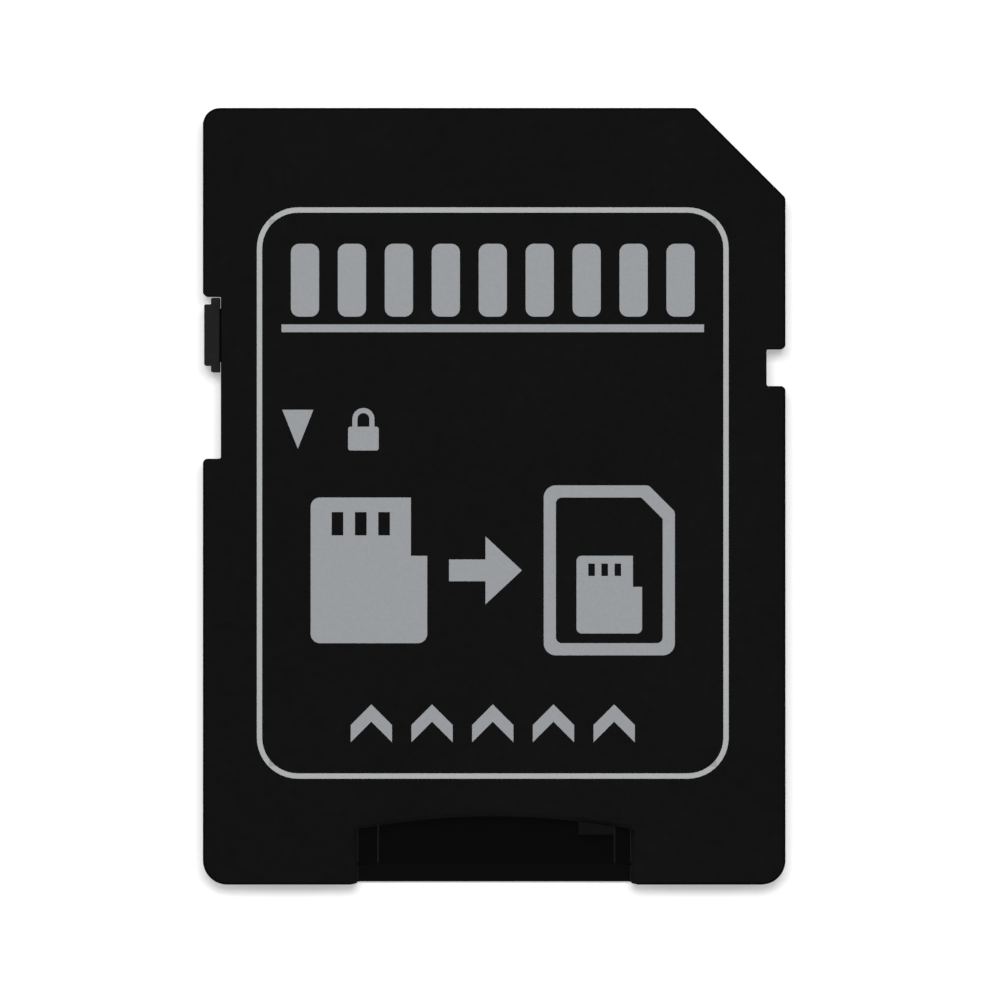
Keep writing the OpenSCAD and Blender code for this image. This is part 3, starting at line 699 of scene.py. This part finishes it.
@dataclass
class Table:
    """The white surface that the adapter lies on."""

    side: float = 3.0
    finish: WhiteTable = field(default_factory=WhiteTable)

    def build(self) -> bpy.types.Object:
        """Make the table top, just touched by the adapter's back face."""
        half = self.side / 2
        low = CAD_BOX[0][2]
        corners = [(-half, -half, low), (half, -half, low), (half, half, low), (-half, half, low)]
        mesh = bpy.data.meshes.new("table_top")
        mesh.from_pydata(corners, [], [(0, 1, 2, 3)])
        mesh.materials.append(self.finish.build())
        top = bpy.data.objects.new("table_top", mesh)
        bpy.context.collection.objects.link(top)
        return top


@dataclass(frozen=True)
class SoftBox:
    """An area lamp that faces the adapter, with its leans in degrees and its lengths in metres."""

    name: str
    lean_x: float
    lean_y: float
    away: float
    width: float
    height: float
    light: float

    def build(self) -> bpy.types.Object:
        """Hang the lamp, leaning from straight above towards +X and +Y."""
        towards = Vector((tan(radians(self.lean_x)), tan(radians(self.lean_y)), 1.0)).normalized()
        lamp = bpy.data.lights.new(self.name, "AREA")
        lamp.shape = "RECTANGLE"
        lamp.size = self.width
        lamp.size_y = self.height
        lamp.energy = self.light * (pi * self.away) ** 2 / towards.z
        piece = bpy.data.objects.new(self.name, lamp)
        piece.location = towards * self.away
        piece.rotation_euler = towards.to_track_quat("Z", "Y").to_euler()
        bpy.context.collection.objects.link(piece)
        return piece


@dataclass
class Studio:
    """Soft light from above and behind the contact end, with an even fill."""

    boxes: tuple[SoftBox, ...] = (
        SoftBox("key_softbox", 0.0, 10.0, away=0.40, width=0.13, height=0.085, light=0.56),
        SoftBox("left_softbox", -45.0, 4.0, away=0.50, width=0.18, height=0.18, light=0.08),
        SoftBox("right_softbox", 45.0, 4.0, away=0.50, width=0.18, height=0.18, light=0.08),
    )
    fill: float = 0.3
    ceiling: float = 0.12
    wall_top: float = 0.35
    ceiling_start: float = 0.87
    side_walls: float = 1.0
    front_wall: float = 0.15
    back_wall: float = 0.05
    turn: tuple[float, float] = (0.15, 0.6)

    def build(self) -> None:
        """Hang the lamps and set the world.

        In reflections the side walls are bright, and the front wall, the back wall and the ceiling
        dim. Apart from that the air gives an even fill.
        """
        for box in self.boxes:
            box.build()
        world = bpy.data.worlds.new("studio_air")
        bpy.context.scene.world = world
        world.use_nodes = True
        bench = NodeBench.on(world.node_tree, "ShaderNodeOutputWorld")
        rays = bench.add("ShaderNodeLightPath")
        axes = bench.add("ShaderNodeSeparateXYZ")
        bench.link(bench.add("ShaderNodeTexCoord").outputs["Generated"], axes.inputs["Vector"])
        height = bench.ramp(
            axes.outputs["Z"], (self.wall_top, self.ceiling_start), (self.side_walls, self.ceiling)
        )
        back = bench.ramp(axes.outputs["Y"], self.turn, (self.side_walls, self.back_wall))
        forward = bench.math("MULTIPLY", axes.outputs["Y"], -1.0)
        front = bench.ramp(forward, self.turn, (self.side_walls, self.front_wall))
        walls = bench.math("MINIMUM", back, front)
        mirrored = bench.math(
            "MAXIMUM", rays.outputs["Is Glossy Ray"], rays.outputs["Is Transmission Ray"]
        )
        mirrored = bench.math("MULTIPLY", mirrored, bench.math("MINIMUM", height, walls))
        spread = bench.math("MULTIPLY", rays.outputs["Is Diffuse Ray"], self.fill)
        level = bench.math("MAXIMUM", mirrored, spread)
        level = bench.math("MAXIMUM", level, rays.outputs["Is Camera Ray"])
        air = bench.add("ShaderNodeBackground")
        bench.link(level, air.inputs["Strength"])
        bench.link(air.outputs["Background"], bench.output.inputs["Surface"])


@dataclass(frozen=True)
class OverheadCamera:
    """The photo's camera, straight above the label face."""

    pixels: float = 1000.0
    pixels_per_mm: float = 24.28
    middle_px: tuple[float, float] = (494.2, 496.3)
    lens: float = 400.0
    sensor: float = 36.0
    near: float = 5.0 * MM

    def build(self) -> bpy.types.Object:
        """Place the camera so that the adapter has the photo's size and place in the frame."""
        data = bpy.data.cameras.new("overhead_camera")
        data.lens = self.lens
        data.sensor_width = self.sensor
        data.sensor_fit = "HORIZONTAL"
        data.clip_start = self.near
        width = self.pixels / self.pixels_per_mm * MM
        camera = bpy.data.objects.new("overhead_camera", data)
        side = (self.pixels / 2 - self.middle_px[0]) / self.pixels_per_mm * MM
        down = (self.pixels / 2 - self.middle_px[1]) / self.pixels_per_mm * MM
        camera.location = (side, -down, CAD_BOX[1][2] + width * self.lens / self.sensor)
        bpy.context.collection.objects.link(camera)
        bpy.context.scene.camera = camera
        return camera


def main() -> None:
    """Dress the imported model, set the scene and log each piece."""
    logging.basicConfig(level=logging.INFO, format="%(message)s")
    OverheadCamera().build()
    Studio().build()
    Table().build()
    for part in (Shells(), Slider(), ContactSet(), PrintedPanel()):
        for piece in part.build():
            LOG.info("%s: %s on %s", type(part).__name__, piece.name, piece.data.materials[0].name)
    bpy.context.scene.view_settings.view_transform = "Standard"


if __name__ == "__main__":
    main()
